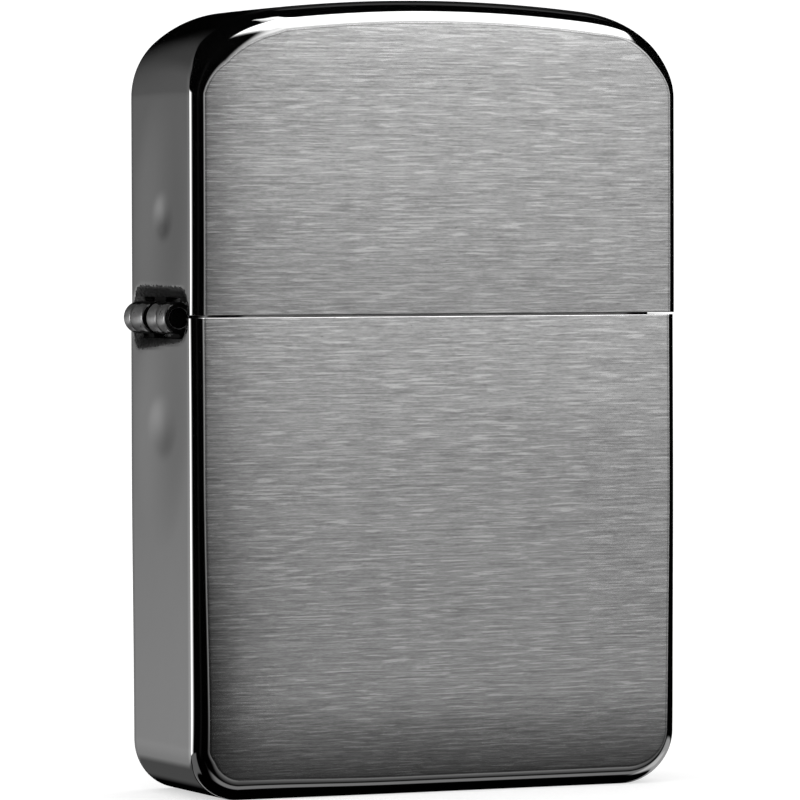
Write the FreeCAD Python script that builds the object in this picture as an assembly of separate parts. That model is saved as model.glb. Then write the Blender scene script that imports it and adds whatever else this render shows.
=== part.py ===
import FreeCAD, Part
import math
import os
from FreeCAD import Vector

# Flip-top petrol lighter.  Millimetres, +Z up, +X away from the hinge, the broad
# front face towards -Y.  The origin is the centre of the case's flat base.

# ---------------------------------------------------------------- outer case
WIDTH = 38.1
DEPTH = 13.0
HEIGHT = 57.15
WALL = 0.7
EDGE_R = 0.9                # rounding of the long front and back edges
SEAM_Z = 34.6
SEAM_GAP = 0.16
BASE_CORNER_R = 4.0         # corner of the base, seen from the front
ARCH_R = 115.0              # very shallow arch of the top
ARCH_DEG = 6.0              # where the arch hands over to the shoulder
SHOULDER_R = 9.56
SHOULDER_DEG = 40.0         # where the shoulder hands over to the corner

# --------------------------------------------------------------------- hinge
HINGE_X = -WIDTH / 2
HINGE_Z = SEAM_Z - 0.22     # the pin sits a little below the seam
BARREL_R = 1.2
BARREL_BORE_R = 0.7
PIN_R = 0.66
PIN_HALF = 3.7
LEAF_HALF_W = 4.9
LEAF_REACH = 10.0
LEAF_STEP = 1.4             # where a leaf is cut back around the other one's knuckles
KNUCKLE_LAP = 0.2           # how far a knuckle's root runs on into its leaf
CASE_KNUCKLES = [(2.95, 4.3), (-2.1, -0.25)]
LID_KNUCKLES = [(0.6, 2.88), (-3.8, -2.18)]
NOTCH_HALF_W = 4.45
NOTCH_PAST_WALL = 0.5       # how far the cut runs on behind the wall
NOTCH_HALF_H = 1.5
COIN_HALF_W = 5.2           # coined slope around the notch
COIN_HALF_H = 2.2
COIN_DEPTH = 0.5
LUG_REACH = 1.4             # small tab on the lid's leaf that works the cam
LUG_T = 0.5
LUG_LIFT = 2.4
LUG_HALF_W = 0.7
WELD_R = 1.5                # shallow weld dimples on the hinge side
WELD_DEPTH = 0.12
WELD_Z_CASE = 27.3
WELD_Z_LID = 41.2

# --------------------------------------------------------------- inside unit
SHEET = 0.5
UNIT_LEFT = -17.7
UNIT_RIGHT = 18.2
UNIT_HALF_D = 5.7
UNIT_BOTTOM = 1.3
UNIT_TOP = SEAM_Z + 1.5
UNIT_PLAN_R = 3.0           # corners seen from above
UNIT_FOOT_R = 3.2           # corners seen from the front

CHIMNEY_LEFT = -8.2
CHIMNEY_RIGHT = 6.4
CHIMNEY_HALF_D = 5.2
CHIMNEY_TOP = 51.6
CHIMNEY_T = 0.4
CHIMNEY_PLAN_R = 2.2
AIR_HOLE_R = 1.15
AIR_HOLE_PITCH = 4.0
AIR_ROW_PITCH = 3.4
AIR_ROWS = [3, 2, 3]
WINDOW_HALF_W = 2.8
WINDOW_LOW = 38.6
WINDOW_HIGH = 45.8

WHEEL_X = 11.3
WHEEL_Z = 42.8
WHEEL_R = 4.15
WHEEL_HALF_W = 3.0
WHEEL_TEETH = 32
TOOTH_DEPTH = 0.35
TOOTH_LAND = 0.35           # share of the pitch along a tooth's top
TOOTH_FOOT = 0.7            # share of the pitch at which the slope reaches the foot
AXLE_R = 0.9
AXLE_CLEARANCE = 0.05
RIVET_HEAD_R = 1.6
RIVET_HEAD_T = 0.45
EAR_INNER = 3.2
EAR_T = 0.5
EAR_R = 2.5                 # rounded top of each ear, about the axle

CAM_X = HINGE_X + 6.55
CAM_Z = SEAM_Z + 3.0
CAM_HUB_R = 2.4
CAM_WEB_R = 1.92            # where the webs to the tip and the nose leave the hub
CAM_HALF_T = 0.8
CAM_TIP_X = HINGE_X + 5.05
CAM_TIP_Z = SEAM_Z + 8.0
CAM_TIP_R = 0.9
CAM_NOSE_X = HINGE_X + 3.9
CAM_NOSE_Z = SEAM_Z + 4.0
CAM_NOSE_R = 0.4
CAM_PIN_R = 0.6
CAM_PIN_HEAD_R = 1.0
CAM_EAR_INNER = 0.95
CAM_EAR_T = 0.5
CAM_EAR_R = 1.5
CAM_SLOT = (HINGE_X + 2.3, HINGE_X + 9.6)
CAM_SPRING_T = 0.25
CAM_SPRING_HALF_W = 1.5
CAM_SPRING_FOOT = SEAM_Z - 16.0
CAM_SPRING_BEND_R = 2.5
CAM_SPRING_TOP = CAM_Z - CAM_HUB_R - 0.05
CAM_SPRING_TOE = CAM_X + 1.6
CAM_RIVET_Z = SEAM_Z - 14.0
CAM_RIVET_R = 0.8
CAM_RIVET_HEAD_R = 1.3
CAM_RIVET_HEAD_T = 0.3

# ------------------------------------------------------ flint, wick and fuel
TUBE_R = 1.8
TUBE_BORE_R = 1.4
TUBE_BOTTOM = 3.0
TUBE_TOP = 38.2
FLINT_R = 1.2
FLINT_BOTTOM = 33.6
FLINT_TOP = 38.55
TIP_R = 1.25
TIP_BOTTOM = 32.4
TIP_STEM_R = 0.65
TIP_STEM_BOTTOM = 30.0
SCREW_HEAD_R = 2.5
SCREW_HEAD_BOTTOM = 2.2
SCREW_SLOT = 0.5
SCREW_SLOT_DEPTH = 0.35
THREAD_R = 1.35
THREAD_TOP = 6.2
THREAD_PITCH = 0.6
THREAD_GROOVE = 0.15
NUB_TOP = 7.6
SPRING_WIRE_R = 0.2
SPRING_MEAN_R = 0.93
SPRING_TURNS = 16
WICK_X = -0.9
WICK_R = 1.7
WICK_BOTTOM = 8.0
WICK_TOP = 46.6
WICK_HOLE_R = 2.0
PACKING_LEFT = -16.5
PACKING_LOW = 4.0
PACKING_HIGH = 32.8
PACKING_COUNT = 5
PACKING_CLEARANCE = 0.1
PAD_LOW = 1.6
PAD_HIGH = 3.8
PAD_HOLE_R = 2.8


# ------------------------------------------------------------------- helpers
def save(name, shape):
    """Write one piece, after a look at its solids."""
    if not shape.isValid() or not shape.Solids:
        raise ValueError("bad shape: " + name)
    shape.exportStep("parts/" + name + ".step")
    print(name, len(shape.Solids), round(shape.Volume, 3))


def box(x, y, z):
    """A block between the (low, high) pairs x, y and z."""
    return Part.makeBox(x[1] - x[0], y[1] - y[0], z[1] - z[0], Vector(x[0], y[0], z[0]))


def rod_y(x, z, radius, y):
    """A cylinder along Y, between the pair y."""
    return Part.makeCylinder(radius, y[1] - y[0], Vector(x, y[0], z), Vector(0, 1, 0))


def rod_z(x, radius, z):
    """A cylinder along Z in the plane y = 0, between the pair z."""
    return Part.makeCylinder(radius, z[1] - z[0], Vector(x, 0, z[0]), Vector(0, 0, 1))


def rod_x(z, radius, x):
    """A cylinder along X in the plane y = 0, between the pair x."""
    return Part.makeCylinder(radius, x[1] - x[0], Vector(x[0], 0, z), Vector(1, 0, 0))


def slab(points, half):
    """The polygon of (x, z) points, thickened to half on each side of y = 0."""
    ring = [Vector(x, -half, z) for x, z in points]
    face = Part.Face(Part.makePolygon(ring + ring[:1]))
    return face.extrude(Vector(0, 2 * half, 0))


def solid_of(shape):
    """The only solid of a boolean result."""
    shape = shape.removeSplitter()
    if len(shape.Solids) != 1:
        raise ValueError("expected one solid")
    return shape.Solids[0]


def outline_edges(inset, y):
    """The case's front outline at depth y, moved inwards by inset.

    From the top: a shallow arch, a shoulder, a corner, a straight side and a
    rounded base corner.  The corner's radius is what closes the side.
    """
    shoulder = math.radians(ARCH_DEG)
    corner = math.radians(SHOULDER_DEG)

    def along(centre, radius, angle):
        return (centre[0] + radius * math.sin(angle), centre[1] + radius * math.cos(angle))

    arch_c = (0, HEIGHT - ARCH_R)
    shoulder_c = along(arch_c, ARCH_R - SHOULDER_R, shoulder)
    corner_r = (WIDTH / 2 - shoulder_c[0] - SHOULDER_R * math.sin(corner)) / (1 - math.sin(corner))
    corner_c = along(shoulder_c, SHOULDER_R - corner_r, corner)
    base_c = (WIDTH / 2 - BASE_CORNER_R, BASE_CORNER_R)
    right_angle = math.pi / 2
    arcs = [
        (arch_c, ARCH_R, 0, shoulder),
        (shoulder_c, SHOULDER_R, shoulder, corner),
        (corner_c, corner_r, corner, right_angle),
        (base_c, BASE_CORNER_R, right_angle, 2 * right_angle),
    ]

    def arc(side, index):
        centre, radius, start, stop = arcs[index]
        ring = [along(centre, radius - inset, a) for a in (start, (start + stop) / 2, stop)]
        return [Vector(side * p[0], y, p[1]) for p in ring]

    right = [arc(1, i) for i in range(4)]
    left = [arc(-1, i) for i in range(4)]
    top = Part.Arc(left[0][2], left[0][0], right[0][2]).toShape()
    edges = [top]
    edges += [Part.Arc(*right[i]).toShape() for i in (1, 2)]
    edges += [Part.makeLine(right[2][2], right[3][0]), Part.Arc(*right[3]).toShape()]
    edges += [Part.makeLine(right[3][2], left[3][2])]
    edges += [Part.Arc(*reversed(left[3])).toShape(), Part.makeLine(left[3][0], left[2][2])]
    edges += [Part.Arc(*reversed(left[i])).toShape() for i in (2, 1)]
    return edges


def pebble(inset):
    """The whole closed case as one rounded solid, moved inwards by inset."""
    front = DEPTH / 2 - inset
    face = Part.Face(Part.Wire(Part.__sortEdges__(outline_edges(inset, -front))))
    block = face.extrude(Vector(0, 2 * front, 0))
    rim = [e for e in block.Edges if all(abs(abs(v.Point.y) - front) < 1e-6 for v in e.Vertexes)
           and abs(e.Vertexes[0].Point.y - e.Vertexes[-1].Point.y) < 1e-6]
    return block.makeFillet(EDGE_R - inset, rim)


def hinge_x(reach):
    """X at this distance inwards from the hinge axis."""
    return HINGE_X + reach


# ---------------------------------------------------------------- outer case
def hinge_relief():
    """Notch for the knuckles and the coined slope around it, on both sides of the seam."""
    notch = box((hinge_x(-1), hinge_x(WALL + NOTCH_PAST_WALL)), (-NOTCH_HALF_W, NOTCH_HALF_W),
                (HINGE_Z - NOTCH_HALF_H, HINGE_Z + NOTCH_HALF_H))
    slope = slab([(hinge_x(0), HINGE_Z + COIN_HALF_H), (hinge_x(COIN_DEPTH), HINGE_Z + NOTCH_HALF_H),
                  (hinge_x(COIN_DEPTH), HINGE_Z - NOTCH_HALF_H), (hinge_x(0), HINGE_Z - COIN_HALF_H),
                  (hinge_x(-1), HINGE_Z - COIN_HALF_H), (hinge_x(-1), HINGE_Z + COIN_HALF_H)],
                 COIN_HALF_W)
    return notch.fuse(slope)


def weld_dimple(z):
    """A shallow round dimple in the hinge side, as a spherical cut."""
    ball_r = (WELD_R ** 2 + WELD_DEPTH ** 2) / (2 * WELD_DEPTH)
    return Part.makeSphere(ball_r, Vector(hinge_x(WELD_DEPTH - ball_r), 0, z))


def shells():
    """The case and the lid: one hollow rounded form parted at the seam."""
    hollow = pebble(0).cut(pebble(WALL)).cut(hinge_relief())
    side = (-WIDTH, WIDTH)
    below = box(side, side, (-1, SEAM_Z - SEAM_GAP / 2))
    above = box(side, side, (SEAM_Z + SEAM_GAP / 2, HEIGHT + 1))
    case = hollow.common(below).cut(weld_dimple(WELD_Z_CASE))
    lid = hollow.common(above).cut(weld_dimple(WELD_Z_LID))
    return solid_of(case), solid_of(lid)


# --------------------------------------------------------------------- hinge
def leaf(knuckles, up):
    """One hinge plate with its rolled knuckles; up is 1 for the lid and -1 for the case."""
    plate_x = (hinge_x(BARREL_BORE_R), hinge_x(BARREL_R))
    ends = sorted((HINGE_Z + up * LEAF_STEP, HINGE_Z + up * LEAF_REACH))
    shape = box(plate_x, (-LEAF_HALF_W, LEAF_HALF_W), ends)
    root_z = sorted((HINGE_Z, HINGE_Z + up * (LEAF_STEP + KNUCKLE_LAP)))
    for y in knuckles:
        shape = shape.fuse(box(plate_x, y, root_z))
        shape = shape.fuse(rod_y(HINGE_X, HINGE_Z, BARREL_R, y))
    return shape.cut(rod_y(HINGE_X, HINGE_Z, BARREL_BORE_R, (-DEPTH, DEPTH)))


def lid_leaf():
    """The lid's hinge plate, with the tab that turns the cam."""
    lug = box((hinge_x(BARREL_R), hinge_x(BARREL_R + LUG_REACH)), (-LUG_HALF_W, LUG_HALF_W),
              (SEAM_Z + LUG_LIFT, SEAM_Z + LUG_LIFT + LUG_T))
    return solid_of(leaf(LID_KNUCKLES, 1).fuse(lug))


def hinge_pin():
    """The plain pin, a little shorter than the barrel."""
    return rod_y(HINGE_X, HINGE_Z, PIN_R, (-PIN_HALF, PIN_HALF))


# --------------------------------------------------------------- inside unit
def plan_block(x, half_d, z, radius):
    """A block with rounded upright edges."""
    block = box(x, (-half_d, half_d), z)
    upright = [e for e in block.Edges if abs(e.tangentAt(e.FirstParameter).z) > 0.9]
    return block.makeFillet(radius, upright)


def unit_form(inset, top):
    """The inside unit's outer form, moved inwards by inset, ending at top."""
    x = (UNIT_LEFT + inset, UNIT_RIGHT - inset)
    block = plan_block(x, UNIT_HALF_D - inset, (UNIT_BOTTOM, top), UNIT_PLAN_R - inset)
    profile = box(x, (-DEPTH, DEPTH), (UNIT_BOTTOM, top + UNIT_FOOT_R))
    feet = [e for e in profile.Edges
            if abs(e.tangentAt(e.FirstParameter).y) > 0.9 and e.BoundBox.ZMax < UNIT_BOTTOM + 0.1]
    return block.common(profile.makeFillet(UNIT_FOOT_R - inset, feet))


def chamber_walls():
    """Walls of the steel box, open above and below, parted along the middle plane."""
    walls = unit_form(0, UNIT_TOP).cut(unit_form(SHEET, UNIT_TOP + 1))
    walls = walls.cut(rod_x(CAM_RIVET_Z, CAM_RIVET_R, (UNIT_LEFT - 1, UNIT_LEFT + 1)))
    side, height = (-WIDTH, WIDTH), (0, HEIGHT)
    front = walls.common(box(side, (-DEPTH, 0), height))
    back = walls.common(box(side, (0, DEPTH), height))
    return solid_of(front), solid_of(back)


def top_plate():
    """Plate let into the box's top, with its openings and the two ears that carry the cam."""
    shape = plan_block((UNIT_LEFT + SHEET, UNIT_RIGHT - SHEET), UNIT_HALF_D - SHEET,
                       (UNIT_TOP - SHEET, UNIT_TOP), UNIT_PLAN_R - SHEET)
    through = (UNIT_TOP - 2 * SHEET, UNIT_TOP + SHEET)
    shape = shape.cut(rod_z(WICK_X, WICK_HOLE_R, through))
    shape = shape.cut(rod_z(WHEEL_X, TUBE_R, through))
    shape = shape.cut(box(CAM_SLOT, (-CAM_EAR_INNER, CAM_EAR_INNER), through))
    for side in (-1, 1):
        y = sorted((side * CAM_EAR_INNER, side * (CAM_EAR_INNER + CAM_EAR_T)))
        ear = rod_y(CAM_X, CAM_Z, CAM_EAR_R, y)
        ear = ear.fuse(box((CAM_X - CAM_EAR_R, CAM_X + CAM_EAR_R), y, (UNIT_TOP - SHEET / 2, CAM_Z)))
        shape = shape.fuse(ear)
    return solid_of(shape.cut(rod_y(CAM_X, CAM_Z, CAM_PIN_R, (-DEPTH, DEPTH))))


def wind_chimney():
    """Perforated wind screen, with the two ears that carry the flint wheel."""
    outer = plan_block((CHIMNEY_LEFT, CHIMNEY_RIGHT), CHIMNEY_HALF_D, (UNIT_TOP, CHIMNEY_TOP),
                       CHIMNEY_PLAN_R)
    inner = plan_block((CHIMNEY_LEFT + CHIMNEY_T, CHIMNEY_RIGHT - CHIMNEY_T), CHIMNEY_HALF_D - CHIMNEY_T,
                       (UNIT_TOP - 1, CHIMNEY_TOP + 1), CHIMNEY_PLAN_R - CHIMNEY_T)
    shape = outer.cut(inner)
    middle_x = (CHIMNEY_LEFT + CHIMNEY_RIGHT) / 2
    middle_z = (UNIT_TOP + CHIMNEY_TOP) / 2
    for row, count in enumerate(AIR_ROWS):
        z = middle_z + (row - 1) * AIR_ROW_PITCH
        for i in range(count):
            x = middle_x + (i - (count - 1) / 2) * AIR_HOLE_PITCH
            shape = shape.cut(rod_y(x, z, AIR_HOLE_R, (-DEPTH, DEPTH)))
    shape = shape.cut(box((CHIMNEY_RIGHT - 2, CHIMNEY_RIGHT + 1), (-WINDOW_HALF_W, WINDOW_HALF_W),
                          (WINDOW_LOW, WINDOW_HIGH)))
    for side in (-1, 1):
        y = sorted((side * EAR_INNER, side * (EAR_INNER + EAR_T)))
        root = (CHIMNEY_RIGHT - CHIMNEY_T, WHEEL_X + EAR_R)
        ear = box(root, y, (UNIT_TOP, WHEEL_Z)).fuse(rod_y(WHEEL_X, WHEEL_Z, EAR_R, y))
        ear = ear.fuse(box((root[0], WHEEL_X), y, (UNIT_TOP, WHEEL_Z + EAR_R)))
        shape = shape.fuse(ear)
    return solid_of(shape.cut(rod_y(WHEEL_X, WHEEL_Z, AXLE_R, (-DEPTH, DEPTH))))


def flint_wheel():
    """Toothed steel wheel with running clearance on its rivet."""
    ring = []
    for i in range(WHEEL_TEETH):
        for part, radius in ((0.0, WHEEL_R), (TOOTH_LAND, WHEEL_R), (TOOTH_FOOT, WHEEL_R - TOOTH_DEPTH)):
            a = 2 * math.pi * (i + part) / WHEEL_TEETH
            ring.append((WHEEL_X + radius * math.cos(a), WHEEL_Z + radius * math.sin(a)))
    bore = rod_y(WHEEL_X, WHEEL_Z, AXLE_R + AXLE_CLEARANCE, (-DEPTH, DEPTH))
    return solid_of(slab(ring, WHEEL_HALF_W).cut(bore))


def cross_rivet(x, z, radius, half, head_r, head_t):
    """A rivet along Y with a flat head on each end."""
    shape = rod_y(x, z, radius, (-half - head_t, half + head_t))
    for y in ((-half - head_t, -half), (half, half + head_t)):
        shape = shape.fuse(rod_y(x, z, head_r, y))
    return solid_of(shape)


def tangent_web(big, big_r, small, small_r):
    """The four corners of the straight web between two circles of an (x, z) plate."""
    dx, dz = small[0] - big[0], small[1] - big[1]
    reach = math.hypot(dx, dz)
    lean = math.acos((big_r - small_r) / reach)
    heading = math.atan2(dz, dx)
    corners = []
    for centre, radius, sign in ((big, big_r, 1), (small, small_r, 1),
                                 (small, small_r, -1), (big, big_r, -1)):
        a = heading + sign * lean
        corners.append((centre[0] + radius * math.cos(a), centre[1] + radius * math.sin(a)))
    return corners


def cam():
    """Plate cam: a round hub, a tall arm that leans on the lid and a short nose."""
    y = (-CAM_HALF_T, CAM_HALF_T)
    hub = (CAM_X, CAM_Z)
    shape = rod_y(CAM_X, CAM_Z, CAM_HUB_R, y)
    for x, z, radius in ((CAM_TIP_X, CAM_TIP_Z, CAM_TIP_R), (CAM_NOSE_X, CAM_NOSE_Z, CAM_NOSE_R)):
        shape = shape.fuse(rod_y(x, z, radius, y))
        shape = shape.fuse(slab(tangent_web(hub, CAM_WEB_R, (x, z), radius), CAM_HALF_T))
    return solid_of(shape.cut(rod_y(CAM_X, CAM_Z, CAM_PIN_R + AXLE_CLEARANCE, (-DEPTH, DEPTH))))


def cam_spring():
    """Leaf spring: up the inside of the left wall, round a bend and under the cam's hub."""
    x0 = UNIT_LEFT + SHEET
    bend_x = x0 + CAM_SPRING_BEND_R
    bend_z = CAM_SPRING_TOP - CAM_SPRING_BEND_R
    y = (-CAM_SPRING_HALF_W, CAM_SPRING_HALF_W)
    leg = box((x0, x0 + CAM_SPRING_T), y, (CAM_SPRING_FOOT, bend_z))
    toe = box((bend_x, CAM_SPRING_TOE), y, (CAM_SPRING_TOP - CAM_SPRING_T, CAM_SPRING_TOP))
    ring = rod_y(bend_x, bend_z, CAM_SPRING_BEND_R, y).cut(
        rod_y(bend_x, bend_z, CAM_SPRING_BEND_R - CAM_SPRING_T, y))
    bend = ring.common(box((x0, bend_x), y, (bend_z, CAM_SPRING_TOP)))
    shape = leg.fuse(bend).fuse(toe)
    return solid_of(shape.cut(rod_x(CAM_RIVET_Z, CAM_RIVET_R, (UNIT_LEFT - 1, UNIT_LEFT + 2))))


def cam_spring_rivet():
    """Short rivet through the left wall and the spring's foot."""
    inner = UNIT_LEFT + SHEET + CAM_SPRING_T
    shape = rod_x(CAM_RIVET_Z, CAM_RIVET_R, (UNIT_LEFT - CAM_RIVET_HEAD_T, inner + CAM_RIVET_HEAD_T))
    for x in ((UNIT_LEFT - CAM_RIVET_HEAD_T, UNIT_LEFT), (inner, inner + CAM_RIVET_HEAD_T)):
        shape = shape.fuse(rod_x(CAM_RIVET_Z, CAM_RIVET_HEAD_R, x))
    return solid_of(shape)


# ------------------------------------------------------ flint, wick and fuel
def flint_tube():
    """Brass tube from the foot screw up to the wheel."""
    bore = rod_z(WHEEL_X, TUBE_BORE_R, (TUBE_BOTTOM - 1, TUBE_TOP + 1))
    return rod_z(WHEEL_X, TUBE_R, (TUBE_BOTTOM, TUBE_TOP)).cut(bore)


def spring_tip():
    """Brass plunger that pushes the flint."""
    head = rod_z(WHEEL_X, TIP_R, (TIP_BOTTOM, FLINT_BOTTOM))
    return solid_of(head.fuse(rod_z(WHEEL_X, TIP_STEM_R, (TIP_STEM_BOTTOM, TIP_BOTTOM))))


def flint_spring():
    """Open coil between the screw and the plunger."""
    low = THREAD_TOP + SPRING_WIRE_R
    length = TIP_BOTTOM - THREAD_TOP - 2 * SPRING_WIRE_R
    path = Part.Wire(Part.makeHelix(length / SPRING_TURNS, length, SPRING_MEAN_R).Edges)
    circle = Part.makeCircle(SPRING_WIRE_R, Vector(SPRING_MEAN_R, 0, 0), Vector(0, 1, 0))
    coil = path.makePipeShell([Part.Wire([circle])], True, True)
    coil.translate(Vector(WHEEL_X, 0, low))
    return coil


def flint_screw():
    """Slotted brass screw that closes the tube's foot, with ring-shaped thread grooves."""
    shape = rod_z(WHEEL_X, SCREW_HEAD_R, (SCREW_HEAD_BOTTOM, TUBE_BOTTOM))
    shape = shape.fuse(rod_z(WHEEL_X, THREAD_R, (TUBE_BOTTOM, THREAD_TOP)))
    shape = shape.fuse(rod_z(WHEEL_X, TIP_STEM_R, (THREAD_TOP, NUB_TOP)))
    shape = shape.cut(box((WHEEL_X - SCREW_HEAD_R, WHEEL_X + SCREW_HEAD_R),
                          (-SCREW_SLOT / 2, SCREW_SLOT / 2),
                          (SCREW_HEAD_BOTTOM - 1, SCREW_HEAD_BOTTOM + SCREW_SLOT_DEPTH)))
    turns = int((THREAD_TOP - TUBE_BOTTOM) / THREAD_PITCH)
    for i in range(turns):
        z = TUBE_BOTTOM + (i + 0.5) * THREAD_PITCH
        groove = rod_z(WHEEL_X, THREAD_R + 1, (z - THREAD_GROOVE, z + THREAD_GROOVE))
        core = rod_z(WHEEL_X, THREAD_R - THREAD_GROOVE, (z - THREAD_GROOVE, z + THREAD_GROOVE))
        shape = shape.cut(groove.cut(core))
    return solid_of(shape)


def packing(index):
    """One wad of the cotton that holds the fuel, around the wick and the flint tube."""
    step = (PACKING_HIGH - PACKING_LOW) / PACKING_COUNT
    low = PACKING_LOW + index * step
    gap = SHEET + PACKING_CLEARANCE
    inside = unit_form(gap, UNIT_TOP)
    layer = box((PACKING_LEFT, UNIT_RIGHT), (-DEPTH, DEPTH), (low, low + step - PACKING_CLEARANCE))
    shape = inside.common(layer)
    for x, radius in ((WHEEL_X, TUBE_R), (WICK_X, WICK_R)):
        shape = shape.cut(rod_z(x, radius + PACKING_CLEARANCE, (0, HEIGHT)))
    return solid_of(shape)


def felt_pad():
    """Felt flap that closes the foot, with a hole for the flint screw."""
    inside = unit_form(SHEET + PACKING_CLEARANCE, UNIT_TOP)
    layer = box((UNIT_LEFT, UNIT_RIGHT), (-DEPTH, DEPTH), (PAD_LOW, PAD_HIGH))
    return solid_of(inside.common(layer).cut(rod_z(WHEEL_X, PAD_HOLE_R, (0, HEIGHT))))


def main():
    os.makedirs("parts", exist_ok=True)
    case, lid = shells()
    save("case_bottom", case)
    save("lid", lid)
    save("hinge_leaf_case", solid_of(leaf(CASE_KNUCKLES, -1)))
    save("hinge_leaf_lid", lid_leaf())
    save("hinge_pin", hinge_pin())
    chamber_front, chamber_back = chamber_walls()
    save("chamber_front", chamber_front)
    save("chamber_back", chamber_back)
    save("top_plate", top_plate())
    save("wind_chimney", wind_chimney())
    save("flint_wheel", flint_wheel())
    save("wheel_rivet", cross_rivet(WHEEL_X, WHEEL_Z, AXLE_R, EAR_INNER + EAR_T,
                                    RIVET_HEAD_R, RIVET_HEAD_T))
    save("cam", cam())
    save("cam_rivet", cross_rivet(CAM_X, CAM_Z, CAM_PIN_R, CAM_EAR_INNER + CAM_EAR_T,
                                  CAM_PIN_HEAD_R, RIVET_HEAD_T))
    save("cam_spring", cam_spring())
    save("cam_spring_rivet", cam_spring_rivet())
    save("flint_tube", flint_tube())
    save("flint", rod_z(WHEEL_X, FLINT_R, (FLINT_BOTTOM, FLINT_TOP)))
    save("spring_tip", spring_tip())
    save("flint_spring", flint_spring())
    save("flint_screw", flint_screw())
    save("wick", rod_z(WICK_X, WICK_R, (WICK_BOTTOM, WICK_TOP)))
    for index in range(PACKING_COUNT):
        save("cotton_packing_" + str(index + 1), packing(index))
    save("felt_pad", felt_pad())


main()
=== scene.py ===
import math
import random
import bmesh
import bpy
from mathutils import Matrix, Vector, noise
from mathutils.geometry import delaunay_2d_cdt, tessellate_polygon


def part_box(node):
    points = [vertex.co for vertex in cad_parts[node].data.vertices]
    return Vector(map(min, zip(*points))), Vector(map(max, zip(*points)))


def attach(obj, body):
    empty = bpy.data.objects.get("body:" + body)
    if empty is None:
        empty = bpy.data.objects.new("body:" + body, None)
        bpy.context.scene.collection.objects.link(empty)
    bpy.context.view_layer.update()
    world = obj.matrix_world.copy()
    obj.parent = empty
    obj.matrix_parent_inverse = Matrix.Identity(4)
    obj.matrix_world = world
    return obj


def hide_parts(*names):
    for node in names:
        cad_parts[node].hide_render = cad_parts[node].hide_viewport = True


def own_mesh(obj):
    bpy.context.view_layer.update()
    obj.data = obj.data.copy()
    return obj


# Looks of a flip-top petrol lighter.  Everything is in metres, in the frame of
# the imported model: +Z up, -Y out of the broad front face, -X towards the hinge.

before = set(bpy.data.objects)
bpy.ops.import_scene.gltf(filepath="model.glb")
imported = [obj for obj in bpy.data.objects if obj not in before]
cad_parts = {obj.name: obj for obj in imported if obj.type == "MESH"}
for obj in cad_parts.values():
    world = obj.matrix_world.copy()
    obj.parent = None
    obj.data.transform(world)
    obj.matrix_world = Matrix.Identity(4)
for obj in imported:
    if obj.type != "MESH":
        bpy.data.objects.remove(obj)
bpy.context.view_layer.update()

MM = 0.001
case_low, case_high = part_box("case_bottom")
lid_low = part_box("lid")[0]

# ---------------------------------------------------------------- case sizes
HALF_W = (case_high[0] - case_low[0]) / 2
HALF_D = (case_high[1] - case_low[1]) / 2
BASE_Z = case_low[2]
CASE_HEIGHT = 57.15 * MM
TOP_Z = BASE_Z + CASE_HEIGHT
SEAM_Z = (case_high[2] + lid_low[2]) / 2
CASE_RIM_Z = SEAM_Z - 0.18 * MM
LID_RIM_Z = SEAM_Z - 0.03 * MM
LID_SET = 0.08 * MM          # the lid's hinge side sits this much inside the case's
CASE_SET = 0.09 * MM         # the case's far side sits this much inside the lid's
CASE_TAPER = 0.09 * MM       # how far the hinge side leans in towards the base
WALL = 0.7 * MM
BASE_CORNER_R = {-1: 3.68 * MM, 1: 3.88 * MM}
ARCH_R = 115.0 * MM
ARCH_END = math.radians(6)
SHOULDER_R = 9.56 * MM
SHOULDER_END = math.radians(40)

# rounding between the front panel and the edges; -1 is the hinge side, 1 the far side
EDGE_BACK = 0.9 * MM
EDGE_TOP = 1.6 * MM
EDGE_SHOULDER = {-1: 1.82 * MM, 1: 1.02 * MM}
EDGE_SEAM = {-1: 0.95 * MM, 1: 0.5 * MM}
EDGE_FOOT = {-1: 1.2 * MM, 1: 0.72 * MM}
EDGE_CORNER = 1.45 * MM
EDGE_BASE = 1.27 * MM
INNER_EDGE = 0.2 * MM
RIM_R = 0.035 * MM           # rounding of the two rims at the seam
RIM_SUPPORT = 0.03 * MM
RIM_ROWS = 4                 # rows of points from a rim to the flat sheet
ROLL = 0.3 * MM              # the brushing rounds a panel's edge over this width
ROLL_TAN = 0.012
ROLL_RINGS = (1.0, 0.6, 0.28)

# how far from an edge a panel starts to turn away, and its slope at that edge
SIDE_REACH, SIDE_SLOPE = 11.0 * MM, 0.06
TOP_REACH, TOP_SLOPE = 3.5 * MM, 0.026
LID_RIM_REACH, LID_RIM_SLOPE = 12.0 * MM, 0.0125
CASE_RIM_REACH, CASE_RIM_SLOPE = 19.0 * MM, 0.0145
BASE_REACH, BASE_SLOPE = 7.0 * MM, 0.155
PANEL_STEP = 1.1             # spacing of a panel's points, in millimetres
INNER_STEP = 6.0             # the same inside the shells

# the hinge: the coined slope around it, and the weld dimples above and below
HINGE_X = -HALF_W
HINGE_Z = SEAM_Z - 0.22 * MM
COIN_HALF_W = 5.1 * MM
COIN_HALF_H = {"lid": 2.17 * MM, "case": 1.92 * MM}
COIN_TILT = {"lid": 0.012, "case": 0.075}
COIN_CORNER_R = 1.2 * MM
COIN_RAMP = 0.75 * MM
COIN_DEPTH = 0.5 * MM
SHADE_BEHIND_RIM = 8.0            # the same measure behind a rim and on the lid's rounded rim, so that painted shade makes them as dark as the coined slope
NOTCH_HALF_W = 4.4 * MM
NOTCH_HALF_H = 1.5 * MM
# the wide shallow hollow around each dimple
DISH_DEPTH, DISH_HALF_Y, DISH_HALF_Z = 0.1 * MM, 5.4 * MM, 9.0 * MM
DIMPLE_DEPTH = 0.1 * MM
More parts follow.
